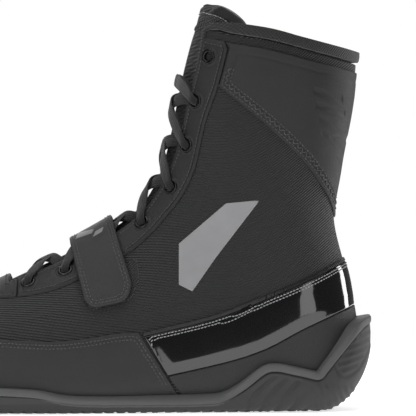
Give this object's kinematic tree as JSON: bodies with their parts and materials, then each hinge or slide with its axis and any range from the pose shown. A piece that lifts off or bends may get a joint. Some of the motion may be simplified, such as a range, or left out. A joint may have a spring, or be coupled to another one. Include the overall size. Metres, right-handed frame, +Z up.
{
  "type": "boxing boot",
  "caption": "High-top lace-up boxing boot with a padded collar and tongue, instep strap that folds open, and a thin rubber cup sole that climbs the heel.",
  "frame": {"origin": "centre of the boot's footprint, on the ground under the sole", "axes": "+X runs from the toe to the heel, the outer side of the foot faces -Y, +Z is up"},
  "size_m": [0.2982, 0.1051, 0.2424],
  "materials": {
    "sole_rubber": "dark grey moulded rubber, low sheen",
    "sole_foam": "fine closed-cell foam",
    "lasting_board": "pressed fibre board",
    "footbed_cloth": "foam footbed faced with knit cloth",
    "stiffener": "heat-formed stiffener sheet",
    "ribbed_mesh": "ribbed woven mesh with fine holes",
    "lining_cloth": "brushed tricot lining",
    "padding_foam": "soft open-cell foam",
    "matte_leather": "smooth matte synthetic leather",
    "binding_tape": "woven binding tape with stitching",
    "patent_leather": "black patent, high gloss",
    "trim_leather": "folded and stitched edge strip",
    "rand_leather": "matte synthetic leather, double stitched",
    "tongue_cloth": "padded mesh and knit cloth",
    "strap_leather": "matte strap, stitched all round",
    "hook_tape": "hook tape",
    "loop_tape": "loop tape",
    "eyelet_metal": "black enamelled metal",
    "lace_cord": "flat woven lace",
    "aglet_plastic": "clear-coated black tip",
    "reflective_film": "plain grey retro-reflective print"
  },
  "bodies": {
    "root": {"outsole": "sole_rubber", "midsole": "sole_foam", "insole_board": "lasting_board", "sockliner": "footbed_cloth", "heel_counter": "stiffener", "toe_puff": "stiffener", "quarter_lateral": "ribbed_mesh", "quarter_medial": "ribbed_mesh", "vamp": "ribbed_mesh", "lining_lateral": "lining_cloth", "lining_medial": "lining_cloth", "lining_vamp": "lining_cloth", "collar_foam": "padding_foam", "eyestay_lateral": "matte_leather", "eyestay_medial": "matte_leather", "throat_cap": "matte_leather", "collar_panel": "matte_leather", "collar_binding": "binding_tape", "heel_band": "patent_leather", "heel_band_trim": "trim_leather", "heel_rand": "rand_leather", "toe_rand": "rand_leather", "tongue_lower": "tongue_cloth", "strap_loop_patch": "loop_tape", "strap_base": "strap_leather", "eyelets_lateral": "eyelet_metal", "eyelets_medial": "eyelet_metal", "lace": "lace_cord", "aglets": "aglet_plastic", "side_patch_lateral": "reflective_film", "side_patch_medial": "reflective_film"},
    "strap": {"strap": "strap_leather", "strap_hook_patch": "hook_tape"},
    "tongue_top": {"tongue_top": "tongue_cloth"}
  },
  "joints": [
    {"name": "strap_open", "type": "hinge", "parent": "root", "child": "strap", "pos_m": [-0.014, 0.0258, 0.091], "axis": [-0.9703, 0, -0.2419], "range_deg": [0, 120]},
    {"name": "tongue_fold", "type": "hinge", "parent": "root", "child": "tongue_top", "pos_m": [0.044, 0, 0.2275], "axis": [0, -1, 0], "range_deg": [0, 35]}
  ]
}
